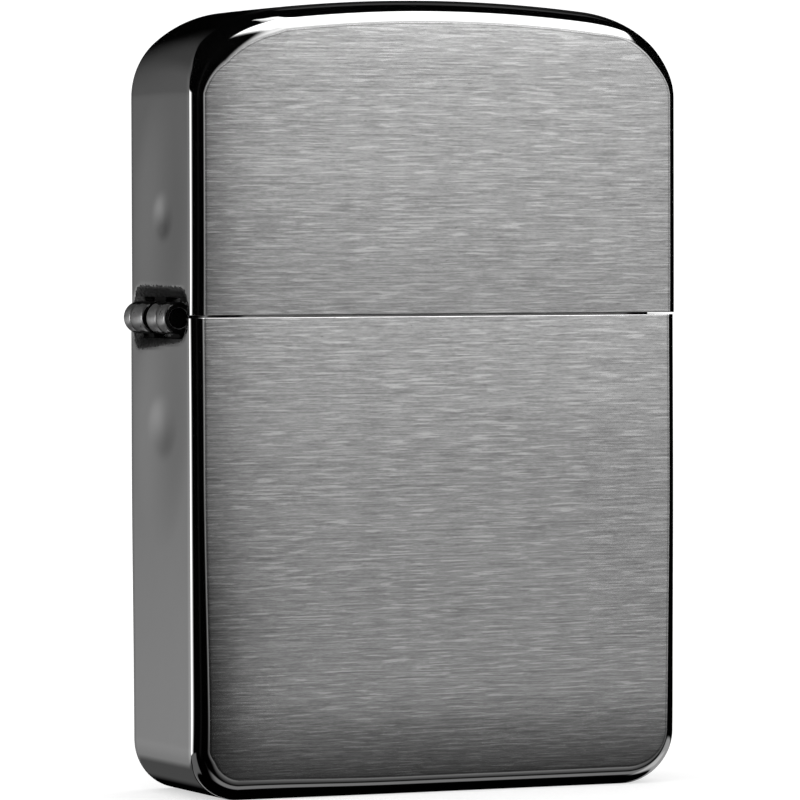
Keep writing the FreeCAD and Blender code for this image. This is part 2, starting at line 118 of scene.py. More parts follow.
# height of the middle, half width and half height of each weld dimple
DIMPLES = {"lid": (41.6 * MM, 2.0 * MM, 1.8 * MM), "case": (26.5 * MM, 2.9 * MM, 2.4 * MM)}
DIMPLE_Y = -0.2 * MM
CORNER_SWELL = 0.22 * MM     # how far the middle of the lid's rounded corners stands out

COLUMNS = 28                 # side wall columns, so that the notch ends on one
FILLET_DEGREES = (0, 2, 5, 9, 14, 20, 27, 35, 44, 53, 62, 71, 80, 90)
SIDE_STEP = 0.3 * MM


# ------------------------------------------------------------------- helpers
def smoothstep(low, high, value):
    t = min(1.0, max(0.0, (value - low) / (high - low)))
    return t * t * (3 - 2 * t)


def mesh_object(name, verts, faces, materials, body, smooth_angle=35):
    """A piece from lists of points and faces, smooth except at sharp corners."""
    mesh = bpy.data.meshes.new(name)
    mesh.from_pydata(verts, [], faces)
    mesh.update()
    mesh.validate()
    piece = bpy.data.objects.new(name, mesh)
    bpy.context.scene.collection.objects.link(piece)
    for material in materials:
        mesh.materials.append(material)
    mesh.shade_smooth()
    mesh.set_sharp_from_angle(angle=math.radians(smooth_angle))
    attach(piece, body)
    return piece


# ------------------------------------------------------------- node materials
class Nodes:
    """A short way to build a node tree."""

    def __init__(self, tree):
        self.tree = tree
        tree.nodes.clear()

    def add(self, kind, inputs=None, **settings):
        node = self.tree.nodes.new(kind)
        for key, value in settings.items():
            setattr(node, key, value)
        for key, value in (inputs or {}).items():
            if hasattr(value, "is_output"):
                self.tree.links.new(value, node.inputs[key])
            else:
                node.inputs[key].default_value = value
        return node

    def math(self, operation, a, b=0.0, clamp=False):
        return self.add("ShaderNodeMath", {0: a, 1: b}, operation=operation, use_clamp=clamp).outputs[0]

    def ramp(self, value, low, high, to_low=0.0, to_high=1.0):
        inputs = {"Value": value, "From Min": low, "From Max": high, "To Min": to_low, "To Max": to_high}
        return self.add("ShaderNodeMapRange", inputs, interpolation_type="SMOOTHSTEP").outputs["Result"]

    def noise(self, scale, detail=3.0, roughness=0.5, coords=None):
        """Noise on object coordinates; scale is (x, y, z) in cycles per metre."""
        if coords is None:
            coords = self.add("ShaderNodeTexCoord").outputs["Object"]
        mapped = self.add("ShaderNodeMapping", {"Vector": coords, "Scale": scale})
        return self.add("ShaderNodeTexNoise", {"Vector": mapped.outputs[0], "Scale": 1.0, "Detail": detail,
                                               "Roughness": roughness}).outputs["Fac"]

    def grey(self, value):
        return self.add("ShaderNodeCombineColor", {0: value, 1: value, 2: value}).outputs[0]


def metal(name, tint, rough, wear=0.03, bump=0.0, grain=(900, 900, 900), anisotropic=0.0):
    """Metal with fine tone changes and a grain; tint is its (r, g, b)."""
    material = bpy.data.materials.new(name)
    material.use_nodes = True
    n = Nodes(material.node_tree)
    tone = n.ramp(n.noise(grain, 4), 0.3, 0.7, 1 - wear, 1 + wear)
    cloud = n.ramp(n.noise((120, 120, 120), 3), 0.3, 0.7, 0.97, 1.03)
    tone = n.math("MULTIPLY", tone, cloud)
    colour = n.add("ShaderNodeVectorMath", {0: tint, "Scale": tone}, operation="SCALE").outputs[0]
    roughness = n.ramp(n.noise(grain, 3), 0.3, 0.7, rough * 0.85, rough * 1.15)
    inputs = {"Base Color": colour, "Metallic": 1.0, "Roughness": roughness, "Anisotropic": anisotropic}
    if bump:
        height = n.noise(grain, 4)
        relief = n.add("ShaderNodeBump", {"Height": height, "Strength": 1.0, "Distance": bump})
        inputs["Normal"] = relief.outputs[0]
    shader = n.add("ShaderNodeBsdfPrincipled", inputs)
    n.add("ShaderNodeOutputMaterial", {"Surface": shader.outputs[0]})
    return material


def brushed_panel():
    """Chromed brass brushed along X: sparse straight hairlines on a smooth ground, with a painted highlight
    and a painted dark line along the panel's edge.
    """
    material = bpy.data.materials.new("brushed_panel")
    material.use_nodes = True
    n = Nodes(material.node_tree)
    painted_edge_light = n.add("ShaderNodeAttribute", attribute_name="painted_edge_light").outputs["Fac"]
    total = n.math("MULTIPLY", n.math("SUBTRACT", n.noise((110, 110, 6500), 1, 0.5), 0.5), 0.6)
    for scale, share in (((480, 480, 8800), 0.95), ((2600, 2600, 9500), 0.5), ((30, 30, 300), 0.15)):
        layer = n.math("SUBTRACT", n.noise(scale, 1, 0.5), 0.5)
        total = n.math("ADD", total, n.math("MULTIPLY", layer, share))
    light = n.ramp(n.noise((420, 420, 8000), 0), 0.62, 0.74)
    total = n.math("ADD", total, n.math("MULTIPLY", light, 0.4))
    speck = n.ramp(n.noise((1800, 1800, 6000), 1, 0.5), 0.18, 0.24, 1.0, 0.0)
    tone = n.math("MULTIPLY", n.math("ADD", total, 1.0), 0.68)
    tone = n.math("SUBTRACT", tone, n.math("MULTIPLY", speck, 0.25))
    # painted highlight and painted dark line: the tone is raised on the panel's outermost edge ring and
    # lowered on the ring inside it
    tone = n.math("MULTIPLY", tone, n.ramp(painted_edge_light, -1.0, 1.0, 0.62, 1.38))
    tone = n.math("MINIMUM", n.math("MAXIMUM", tone, 0.15), 1.0)
    bump = n.add("ShaderNodeBump", {"Height": total, "Strength": 0.2, "Distance": 0.002 * MM})
    tangent = n.add("ShaderNodeVectorTransform", {"Vector": (0, 0, 1)}, vector_type="VECTOR",
                    convert_from="OBJECT", convert_to="WORLD").outputs[0]
    shader = n.add("ShaderNodeBsdfPrincipled",
                   {"Base Color": n.grey(tone), "Metallic": 1.0, "Roughness": 0.14, "Anisotropic": 0.8,
                    "Tangent": tangent, "Normal": bump.outputs[0]})
    n.add("ShaderNodeOutputMaterial", {"Surface": shader.outputs[0]})
    return material


def polished_shell():
    """Polished chrome, rough where the hinge slope is coined, with painted shade making the coined recess and
    the faces behind the rims near black.
    """
    material = bpy.data.materials.new("polished_shell")
    material.use_nodes = True
    n = Nodes(material.node_tree)
    coin_and_shade = n.add("ShaderNodeAttribute", attribute_name="coin_and_shade_mm").outputs["Fac"]
    ragged = n.math("ADD", coin_and_shade, n.ramp(n.noise((5000, 5000, 5000), 3), 0.3, 0.7, -0.09, 0.09))
    # painted shade: where the mask is full, the tone goes near black in the coined recess round the hinge and
    # behind the rims at the seam; the roughness is the real coined finish
    mask = n.ramp(ragged, -0.16, -0.06)
    grain = n.ramp(n.noise((5200, 5200, 5200), 4, 0.65), 0.3, 0.7, 0.03, 0.2)
    tone = n.add("ShaderNodeMix", {0: mask, 2: 0.8, 3: grain}, data_type="FLOAT").outputs[0]
    haze = n.ramp(n.noise((300, 300, 300), 3), 0.3, 0.7, 0.03, 0.05)
    rough = n.add("ShaderNodeMix", {0: mask, 2: haze, 3: 0.6}, data_type="FLOAT").outputs[0]
    height = n.math("ADD", n.math("MULTIPLY", n.noise((260, 260, 260), 2), 0.5),
                    n.math("MULTIPLY", n.math("MULTIPLY", n.noise((4000, 4000, 4000), 3), mask), 1.2))
    bump = n.add("ShaderNodeBump", {"Height": height, "Strength": 0.5, "Distance": 0.02 * MM})
    shader = n.add("ShaderNodeBsdfPrincipled",
                   {"Base Color": n.grey(tone), "Metallic": 1.0, "Roughness": rough,
                    "Normal": bump.outputs[0]})
    n.add("ShaderNodeOutputMaterial", {"Surface": shader.outputs[0]})
    return material


def pitted_shaded_hinge():
    """Plated knuckles with small pits, and painted shade: black in the recess round the exposed band, on the
    ends, the pin and the inner leaves.
    """
    material = bpy.data.materials.new("pitted_shaded_hinge")
    material.use_nodes = True
    n = Nodes(material.node_tree)
    painted_shade = n.add("ShaderNodeAttribute", attribute_name="painted_shade").outputs["Fac"]
    # painted shade from the attribute, made ragged by noise; the dark pits added below are real
    ragged = n.math("ADD", painted_shade, n.ramp(n.noise((1800, 1200, 1800), 4, 0.6), 0.3, 0.7, -0.35, 0.35))
    mask = n.ramp(ragged, 0.3, 0.75)
    pits = n.ramp(n.noise((2600, 1900, 2600), 3, 0.6), 0.3, 0.37, 1.0, 0.0)
    mask = n.math("MAXIMUM", mask, n.math("MULTIPLY", pits, 0.85))
    bright = n.ramp(n.noise((3000, 700, 3000), 4), 0.3, 0.7, 0.72, 0.95)
    tone = n.add("ShaderNodeMix", {0: mask, 2: bright, 3: 0.02}, data_type="FLOAT").outputs[0]
    rough = n.add("ShaderNodeMix", {0: mask, 2: 0.3, 3: 0.6}, data_type="FLOAT").outputs[0]
    unshaded = n.math("SUBTRACT", 1.0, mask)
    bump = n.add("ShaderNodeBump", {"Height": unshaded, "Strength": 0.4, "Distance": 0.01 * MM})
    shader = n.add("ShaderNodeBsdfPrincipled",
                   {"Base Color": n.grey(tone), "Metallic": 1.0, "Roughness": rough,
                    "Normal": bump.outputs[0]})
    n.add("ShaderNodeOutputMaterial", {"Surface": shader.outputs[0]})
    return material


def fibre(name, tint, scale, depth, sheen=0.4):
    """Soft fibre: tangled noise, tone changes and sheen."""
    material = bpy.data.materials.new(name)
    material.use_nodes = True
    n = Nodes(material.node_tree)
    tangle = n.noise(scale, 6, 0.65)
    tone = n.ramp(tangle, 0.25, 0.75, 0.78, 1.08)
    colour = n.add("ShaderNodeVectorMath", {0: tint, "Scale": tone}, operation="SCALE").outputs[0]
    bump = n.add("ShaderNodeBump", {"Height": tangle, "Strength": 0.8, "Distance": depth})
    shader = n.add("ShaderNodeBsdfPrincipled",
                   {"Base Color": colour, "Roughness": 0.95, "Sheen Weight": sheen,
                    "Normal": bump.outputs[0]})
    n.add("ShaderNodeOutputMaterial", {"Surface": shader.outputs[0]})
    return material


PANEL = brushed_panel()
POLISHED = polished_shell()
INSIDE = metal("inside_satin", (0.5, 0.5, 0.5), 0.35, 0.06, 0.01 * MM, (300, 300, 4000))
HINGE = pitted_shaded_hinge()
UNIT = metal("unit_steel", (0.62, 0.62, 0.62), 0.28, 0.05, 0.008 * MM, (200, 200, 6000))
WHEEL = metal("wheel_steel", (0.25, 0.25, 0.26), 0.4, 0.15, 0.02 * MM, (3000, 3000, 3000))
SPRING = metal("spring_steel", (0.55, 0.55, 0.57), 0.22, 0.05, 0.005 * MM, (2000, 2000, 2000))
BRASS = metal("turned_brass", (0.72, 0.5, 0.2), 0.25, 0.06, 0.006 * MM, (400, 400, 9000))
FLINT = metal("flint_alloy", (0.13, 0.12, 0.12), 0.6, 0.2, 0.03 * MM, (4000, 4000, 4000))
WICK = fibre("wick_cotton", (0.8, 0.75, 0.64), (2600, 2600, 1500), 0.08 * MM)
COTTON = fibre("packing_cotton", (0.86, 0.84, 0.8), (900, 900, 1800), 0.25 * MM)
FELT = fibre("pressed_felt", (0.7, 0.68, 0.63), (3500, 3500, 3500), 0.06 * MM)


# --------------------------------------------------------- the outline in XZ
def outline_arcs(side):
    """Centre, radius, first and last angle of each arc of one half, from the top."""
    def along(centre, radius, angle):
        return Vector((centre.x + radius * math.sin(angle), centre.y + radius * math.cos(angle)))

    arch = Vector((0, TOP_Z - ARCH_R))
    shoulder = along(arch, ARCH_R - SHOULDER_R, ARCH_END)
    lean = math.sin(SHOULDER_END)
    corner_r = (HALF_W - shoulder.x - SHOULDER_R * lean) / (1 - lean)
    corner = along(shoulder, SHOULDER_R - corner_r, SHOULDER_END)
    base_r = BASE_CORNER_R[side]
    base = Vector((HALF_W - base_r, BASE_Z + base_r))
    return {"arch": (arch, ARCH_R, 0, ARCH_END),
            "shoulder": (shoulder, SHOULDER_R, ARCH_END, SHOULDER_END),
            "corner": (corner, corner_r, SHOULDER_END, math.pi / 2),
            "base": (base, base_r, math.pi / 2, math.pi)}


def edge_radius(lid, side, point, normal):
    """Rounding of the front panel's edge at a station of the outline."""
    angle = math.degrees(math.atan2(normal.x, normal.y))
    if lid:
        if side < 0:
            gain, drop = smoothstep(0, 15, angle), min(1.0, max(0.0, (angle - 50) / 40))
        else:
            gain, drop = smoothstep(8, 34, angle), smoothstep(50, 90, angle)
        radius = EDGE_TOP + (EDGE_SHOULDER[side] - EDGE_TOP) * gain
        return radius + (EDGE_SEAM[side] - EDGE_SHOULDER[side]) * drop
    low = smoothstep(24 * MM, 3 * MM, point.y)
    radius = EDGE_SEAM[side] + (EDGE_FOOT[side] - EDGE_SEAM[side]) * low
    if side > 0:
        return radius + (EDGE_BASE - radius) * smoothstep(90, 180, angle)
    radius += (EDGE_CORNER - radius) * smoothstep(90, 115, angle)
    return radius + (EDGE_BASE - radius) * smoothstep(HALF_W - 4 * MM, 4 * MM, point.x)


def arc_stations(arc, steps):
    """Stations (point, outward normal) along an arc."""
    centre, radius, start, stop = arc
    made = []
    for i in range(steps + 1):
        angle = start + (stop - start) * i / steps
        normal = Vector((math.sin(angle), math.cos(angle)))
        made.append((centre + normal * radius, normal))
    return made


def side_stations(start_z, stop_z):
    """Stations down or up the straight side, without the first one."""
    count = max(1, round(abs(stop_z - start_z) / SIDE_STEP))
    return [(Vector((HALF_W, start_z + (stop_z - start_z) * i / count)), Vector((1, 0)))
            for i in range(1, count + 1)]


def half_outline(lid, side):
    """Stations (point, normal, edge radius, shrink) of one half, drawn on the right, middle to rim."""
    arcs = outline_arcs(side)
    if lid:
        line = arc_stations(arcs["arch"], 12)
        line += arc_stations(arcs["shoulder"], 12)[1:]
        line += arc_stations(arcs["corner"], 16)[1:]
        rim, away = LID_RIM_Z, 1
    else:
        corner = arc_stations(arcs["base"], 20)
        line = [(Vector((corner[-1][0].x * i / 8, BASE_Z)), Vector((0, -1))) for i in range(8)]
        line += corner[::-1]
        rim, away = CASE_RIM_Z, -1
    notch_z = HINGE_Z + away * NOTCH_HALF_H
    line += side_stations(line[-1][0].y, notch_z)
    line += side_stations(notch_z, rim + away * (RIM_R + RIM_SUPPORT))
    line.append((Vector((HALF_W, rim + away * RIM_R)), Vector((1, 0))))
    stations = [(p, n, edge_radius(lid, side, p, n), 0.0) for p, n in line]
    for angle in (30, 60, 90):
        a = math.radians(angle)
        point = Vector((HALF_W, rim + away * RIM_R * (1 - math.sin(a))))
        stations.append((point, Vector((1, 0)), EDGE_SEAM[side], RIM_R * (1 - math.cos(a))))
    return stations


def full_outline(lid):
    """Stations from the left rim, over the top or under the base, to the right rim."""
    right = half_outline(lid, 1)
    left = half_outline(lid, -1)
    mirrored = [(Vector((-p.x, p.y)), Vector((-n.x, n.y)), edge, d) for p, n, edge, d in left[:0:-1]]
    return mirrored + right


# --------------------------------------------------------- relief of the sheet
def sag(distance, reach, slope):
    """Depth of a panel that turns away to this slope within reach of its edge."""
    t = min(1.0, max(0.0, 1 - distance / reach))
    return slope * reach * t ** 3 / 3


def fall(part, x, z):
    """How far a broad panel lies behind its highest plane."""
    slope = SIDE_SLOPE * (1 + 0.45 * smoothstep(24 * MM, 5 * MM, z))
    depth = sag(x + HALF_W - EDGE_SEAM[-1], SIDE_REACH, slope)
    if part == "lid":
        depth += sag(z - LID_RIM_Z, LID_RIM_REACH, LID_RIM_SLOPE)
        return depth + sag(TOP_Z - EDGE_TOP - z, TOP_REACH, TOP_SLOPE)
    depth += sag(CASE_RIM_Z - z, CASE_RIM_REACH, CASE_RIM_SLOPE)
    return depth + sag(z - BASE_Z - EDGE_BASE, BASE_REACH, BASE_SLOPE)


def coin_and_shade_mm(part, y, z):
    """How far inside the coined hinge slope a point of the left wall lies, in millimetres."""
    height = COIN_HALF_H[part] + COIN_TILT[part] * y
    dy = abs(y) - (COIN_HALF_W - COIN_CORNER_R)
    dz = abs(z - HINGE_Z) - (height - COIN_CORNER_R)
    outside = math.hypot(max(dy, 0), max(dz, 0))
    return -(outside + min(max(dy, dz), 0) - COIN_CORNER_R) / MM


def hollow(y, z, depth, half_y, half_z):
    """Depth of a smooth oval hollow at an offset from its middle."""
    r2 = (y / half_y) ** 2 + (z / half_z) ** 2
    return depth * (1 - r2) ** 2 if r2 < 1 else 0.0


def press(part, y, z):
    """How far the left wall is pressed in at a point."""
    z0, half_y, half_z = DIMPLES[part]
    deep = hollow(y, z - z0, DISH_DEPTH, DISH_HALF_Y, DISH_HALF_Z)
    deep += hollow(y - DIMPLE_Y, z - z0, DIMPLE_DEPTH, half_y, half_z)
    return deep + COIN_DEPTH * smoothstep(0, COIN_RAMP / MM, coin_and_shade_mm(part, y, z))


def swell(normal, y):
    """How far the lid's rounded corner stands out, most in the middle of its depth."""
    across = y / (HALF_D - EDGE_BACK)
    return CORNER_SWELL * (2 * normal.x * normal.y) ** 2 * max(0.0, 1 - across ** 2)


# ------------------------------------------------------------ shells as grids
def depth_profile(part, station, layer):
    """(inset, y) pairs from the front panel round to the back panel.

    Layer 0 is the outside and layer 1 the inside of the sheet.
    """
    point, normal, edge, shrink = station
    inset = shrink if layer == 0 else WALL - shrink
    half = HALF_D - inset

    def quarter(radius):
        fillet = radius if layer == 0 else max(INNER_EDGE, radius - WALL)
        ring = []
        for s in ROLL_RINGS + (0.0,):
            d = inset + fillet + ROLL * s
            x = point.x - normal.x * d
            depth = fall(part, x, point.y - normal.y * d) if layer == 0 else 0.0
            ring.append((d, -half + depth + ROLL_TAN * ROLL / 2 * (1 - s) ** 2))
        start = ring[-1][1]
        for degrees in FILLET_DEGREES[1:]:
            a = math.radians(degrees)
            y = start + (fillet - half - start) * (1 - math.cos(a))
            ring.append((inset + fillet * (1 - math.sin(a)), y))
        return ring, half - fillet

    front, front_reach = quarter(edge)
    back, back_reach = quarter(EDGE_BACK)
    flat = HALF_D - EDGE_SEAM[-1]
    columns = []
    for i in range(1, COLUMNS):
        y = flat * (2 * i / COLUMNS - 1)
        columns.append((inset, y * min(1.0, (front_reach if y < 0 else back_reach) / flat)))
    return front + columns + [(d, -y) for d, y in reversed(back)]


def inside_loop(point, loop):
    """Even-odd test of a point against a closed loop."""
    hit = False
    for a, b in zip(loop, loop[1:] + loop[:1]):
        if (a.y > point.y) != (b.y > point.y):
            hit ^= point.x < a.x + (b.x - a.x) * (point.y - a.y) / (b.y - a.y)
    return hit


def fill_loop(verts, loop, step, level):
    """Triangles inside a loop of points, with more points on a grid of this step in millimetres."""
    ring = [Vector((verts[v][0], verts[v][2])) / MM for v in loop]
    low = [min(p[axis] for p in ring) for axis in (0, 1)]
    high = [max(p[axis] for p in ring) for axis in (0, 1)]
    count = [int((high[axis] - low[axis]) / step) + 1 for axis in (0, 1)]
    ids, points = list(loop), list(ring)
    for i in range(1, count[0]):
        for j in range(1, count[1]):
            p = Vector((low[0] + (high[0] - low[0]) * i / count[0],
                        low[1] + (high[1] - low[1]) * j / count[1]))
            if inside_loop(p, ring) and min((p - q).length for q in ring) > 0.6 * step:
                ids.append(len(verts))
                points.append(p)
                verts.append((p.x * MM, level(p.x * MM, p.y * MM), p.y * MM))
    made = delaunay_2d_cdt(points, [], [list(range(len(ring)))], 1, 1e-7)
    return [[ids[made[3][v][0]] for v in face] for face in made[2]]


def turned(verts, face, clockwise):
    """The face, counter-clockwise in the XZ plane unless clockwise is asked for."""
    ring = [(verts[v][0], verts[v][2]) for v in face]
    area = sum(a[0] * b[1] - b[0] * a[1] for a, b in zip(ring, ring[1:] + ring[:1]))
    return face[::-1] if (area < 0) != clockwise else face


def shell(name, part, node):
    """One drawn shell: an outer and an inner grid, joined at the rim and round the notch."""
    lid = part == "lid"
    stations = full_outline(lid)
    count = len(stations)
    last = count - 1
    rings = len(ROLL_RINGS)
    steps = round(2 * HALF_W / MM / PANEL_STEP)
    verts, coin_and_shade = [], []

    def settle(x, z):
        """The two shells differ a little in width."""
        if lid:
            return x + LID_SET * (HALF_W - x) / (2 * HALF_W)
        lean = CASE_TAPER * smoothstep(24 * MM, 4 * MM, z) * (HALF_W - x) / (2 * HALF_W)
        return x + lean - CASE_SET * (HALF_W + x) / (2 * HALF_W)

    for layer in (0, 1):
        for station in stations:
            point, normal = station[0], station[1]
            profile = depth_profile(part, station, layer)
            left = normal.x < -0.999 and layer == 0
            for d, y in profile:
                pressed = press(part, y, point.y) if left and abs(y) < HALF_D - EDGE_BACK else 0.0
                if lid and layer == 0:
                    pressed -= swell(normal, y)
                x = settle(point.x - normal.x * (d + pressed), point.y)
                verts.append((x, y, point.y - normal.y * (d + pressed)))
                # painted shade: the inside of the sheet and the lid's rounded rim get the full darkness of
                # the coined slope, so the seam's gap reads black
                dark = layer or (lid and station[3] > 0)
                coin_and_shade.append(SHADE_BEHIND_RIM if dark else coin_and_shade_mm(part, y, point.y) if normal.x < -0.999 else -1.0)
    rows = len(profile)

    def vertex(layer, i, k):
        return (layer * count + i) * rows + k

    def open_cell(i, k):
        """Cells of the left wall that the knuckles need free."""
        middle_z = (stations[i][0].y + stations[i + 1][0].y) / 2
        y = (verts[vertex(0, i, k)][1] + verts[vertex(0, i, k + 1)][1]) / 2
        return (stations[i][1].x < -0.999 and stations[i + 1][1].x < -0.999
                and abs(y) < NOTCH_HALF_W and abs(middle_z - HINGE_Z) < NOTCH_HALF_H)

    faces, looks = [], []

    def add_face(face, look, flip):
        faces.append(face[::-1] if flip else face)
        looks.append(look)

    cells = {(i, k) for i in range(count - 1) for k in range(rows - 1) if not open_cell(i, k)}
    for i, k in sorted(cells):
        quad = [(i, k), (i, k + 1), (i + 1, k + 1), (i + 1, k)]
        add_face([vertex(0, *q) for q in quad], 1 if k < rings or k >= rows - 1 - rings else 0, lid)
        add_face([vertex(1, *q) for q in reversed(quad)], 2, lid)
        for (di, dk), a, b in (((-1, 0), 0, 1), ((1, 0), 2, 3), ((0, -1), 3, 0), ((0, 1), 1, 2)):
            if (i + di, k + dk) not in cells and 0 <= k + dk < rows - 1:
                add_face([vertex(0, *quad[b]), vertex(0, *quad[a]), vertex(1, *quad[a]), vertex(1, *quad[b])],
                         0, lid)
    rims = {}
    for layer in (0, 1):
        for k, back in ((0, 0), (rows - 1, 1)):
            across = []
            for i in range(RIM_ROWS + 1):
                ends = [verts[vertex(layer, j, k)] for j in (i, last - i)]
                shrink = stations[i][3]
                row = [vertex(layer, i, k)]
                for j in range(1, steps):
                    x = ends[0][0] + (ends[1][0] - ends[0][0]) * j / steps
                    z = ends[0][2]
                    depth = HALF_D - (shrink + fall(part, x, z) if layer == 0 else WALL - shrink)
                    row.append(len(verts))
                    verts.append((x, depth if back else -depth, z))
                coin_and_shade += [SHADE_BEHIND_RIM if layer or (lid and shrink > 0) else -1.0] * (len(verts) - len(coin_and_shade))
                across.append(row + [vertex(layer, last - i, k)])
            clockwise = bool(back) != bool(layer)
            look = 2 if layer else 1
            for i, (upper, lower) in enumerate(zip(across, across[1:])):
                for j in range(len(upper) - 1):
                    ring = [upper[j], upper[j + 1], lower[j + 1], lower[j]]
                    rounded = stations[i][3] > 0 and not layer
                    add_face(turned(verts, ring, clockwise), 0 if rounded else look, False)

            def level(x, z):
                depth = HALF_D - (WALL if layer else fall(part, x, z))
                return depth if back else -depth

            loop = [vertex(layer, i, k) for i in range(RIM_ROWS, last - RIM_ROWS)] + across[-1][:0:-1]
            for face in fill_loop(verts, loop, INNER_STEP if layer else PANEL_STEP, level):
                add_face(turned(verts, face, clockwise), look, False)
            rims[layer, back] = across[0]
            coin_and_shade += [SHADE_BEHIND_RIM if layer else -1.0] * (len(verts) - len(coin_and_shade))
    for back in (0, 1):
        outer, inner = rims[0, back], rims[1, back]
        for j in range(len(outer) - 1):
            add_face([outer[j], outer[j + 1], inner[j + 1], inner[j]], 0, bool(back) != lid)
    piece = mesh_object(name, verts, faces, [POLISHED, PANEL, INSIDE], part)
    mesh = piece.data
    for polygon, look in zip(mesh.polygons, looks):
        polygon.material_index = look
    borders = {rings, rows - 1 - rings}
    for edge in mesh.edges:
        a, b = edge.vertices
        if max(a, b) < count * rows and a % rows == b % rows and a % rows in borders:
            edge.use_edge_sharp = True
    # painted highlight on the outermost ring of each panel edge, and a painted dark line on the ring just
    # inside it
    groove = {rings - 1, rows - rings}
    painted_edge_light = [0.0] * len(verts)
    for v in range(count * rows):
        painted_edge_light[v] = 1.0 if v % rows in borders else -1.0 if v % rows in groove else 0.0
    mesh.attributes.new("painted_edge_light", "FLOAT", "POINT").data.foreach_set("value", painted_edge_light)
    mesh.attributes.new("coin_and_shade_mm", "FLOAT", "POINT").data.foreach_set("value", coin_and_shade)
    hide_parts(node)
    return piece


shell("lid_shell", "lid", "lid")
shell("case_shell", "case", "case_bottom")


# ------------------------------------------------------------ small metal forms
def bevel_levels(low, high, width):
    """(height, inset) pairs of a prism with rounded ends, from low to high."""
    ends = [(width * (1 - math.cos(a)), width * (1 - math.sin(a))) for a in (0, math.pi / 6, math.pi / 3)]
    up = [(low + h, d) for h, d in ends] + [(low + width, 0.0)]
    return up + [(high - (h - low), d) for h, d in reversed(up)]


def rounded_rect(a, b, radius, steps=6):
    """(a, b, outward a, outward b) round a rectangle between the pairs a and b."""
    ring = []
    for quarter, (ca, cb) in enumerate(((a[1] - radius, b[1] - radius), (a[0] + radius, b[1] - radius),
                                        (a[0] + radius, b[0] + radius), (a[1] - radius, b[0] + radius))):
        for i in range(steps + 1):
            turn = math.pi / 2 * (quarter + i / steps)
            out_a, out_b = math.cos(turn), math.sin(turn)
            ring.append((ca + radius * out_a, cb + radius * out_b, out_a, out_b))
    return ring


def circle(a, b, radius, steps=40):
    """The same for a circle; a negative radius makes a bore."""
    turns = [2 * math.pi * i / steps for i in range(steps)]
    sign = math.copysign(1, radius)
    return [(a + abs(radius) * math.cos(t), b + abs(radius) * math.sin(t),
             sign * math.cos(t), sign * math.sin(t)) for t in turns]


def prism(name, loops, levels, place, material, body, nodes, painted_shade=None):
    """A closed prism: the first loop is its outline and the others are its bores.

    place turns (a, b, height) into a point, and the last argument gives the painted shade at (a, b, inset),
    from 0 for none to the full value.
    """
    verts, faces, shade_values = [], [], []
    rings = []
    for height, inset in levels:
        row = []
        for loop in loops:
            start = len(verts)
            for a, b, out_a, out_b in loop:
                pa, pb = a - out_a * inset, b - out_b * inset
                verts.append(place(pa, pb, height))
                shade_values.append(painted_shade(pa, pb, inset) if painted_shade else 0.0)
            row.append(list(range(start, len(verts))))
        rings.append(row)
    for lower, upper in zip(rings, rings[1:]):
        for ring_a, ring_b in zip(lower, upper):
            count = len(ring_a)
            faces += [[ring_a[i], ring_a[(i + 1) % count], ring_b[(i + 1) % count], ring_b[i]]
                      for i in range(count)]
    for row, inset in ((rings[0], levels[0][1]), (rings[-1], levels[-1][1])):
        flat = [[Vector((a - oa * inset, b - ob * inset, 0)) for a, b, oa, ob in loop] for loop in loops]
        ids = [v for ring in row for v in ring]
        faces += [[ids[v] for v in triangle] for triangle in tessellate_polygon(flat)]
    piece = mesh_object(name, verts, faces, [material], body)
    tidy_normals(piece.data)
    piece.data.attributes.new("painted_shade", "FLOAT", "POINT").data.foreach_set("value", shade_values)
    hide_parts(*nodes)
    return piece


def tidy_normals(mesh):
    """All faces outwards, and double points merged."""
    work = bmesh.new()
    work.from_mesh(mesh)
    bmesh.ops.remove_doubles(work, verts=work.verts, dist=1e-7)
    bmesh.ops.recalc_face_normals(work, faces=work.faces)
    work.to_mesh(mesh)
    work.free()


def softened(node, body, material, width):
    """A stand-in for a CAD node with its hard edges rounded off."""
    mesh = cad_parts[node].data.copy()
    work = bmesh.new()
    work.from_mesh(mesh)
    bmesh.ops.remove_doubles(work, verts=work.verts, dist=1e-7)
    bmesh.ops.dissolve_limit(work, angle_limit=math.radians(0.5), verts=work.verts, edges=work.edges)
    hard = [e for e in work.edges if len(e.link_faces) == 2 and e.calc_face_angle() > math.radians(40)]
    bmesh.ops.bevel(work, geom=hard, offset=width, segments=2, profile=0.5, affect="EDGES",
                    clamp_overlap=True)
    bmesh.ops.recalc_face_normals(work, faces=work.faces)
    work.to_mesh(mesh)
    work.free()
    mesh.name = node + "_formed"
    mesh.materials.clear()
    mesh.materials.append(material)
    piece = bpy.data.objects.new(node + "_formed", mesh)
    bpy.context.scene.collection.objects.link(piece)
    for polygon in mesh.polygons:
        polygon.material_index = 0
    mesh.shade_smooth()
    mesh.set_sharp_from_angle(angle=math.radians(35))
    weighted = piece.modifiers.new("weighted", "WEIGHTED_NORMAL")
    weighted.weight, weighted.keep_sharp = 100, True
    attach(piece, body)
    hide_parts(node)
    return piece


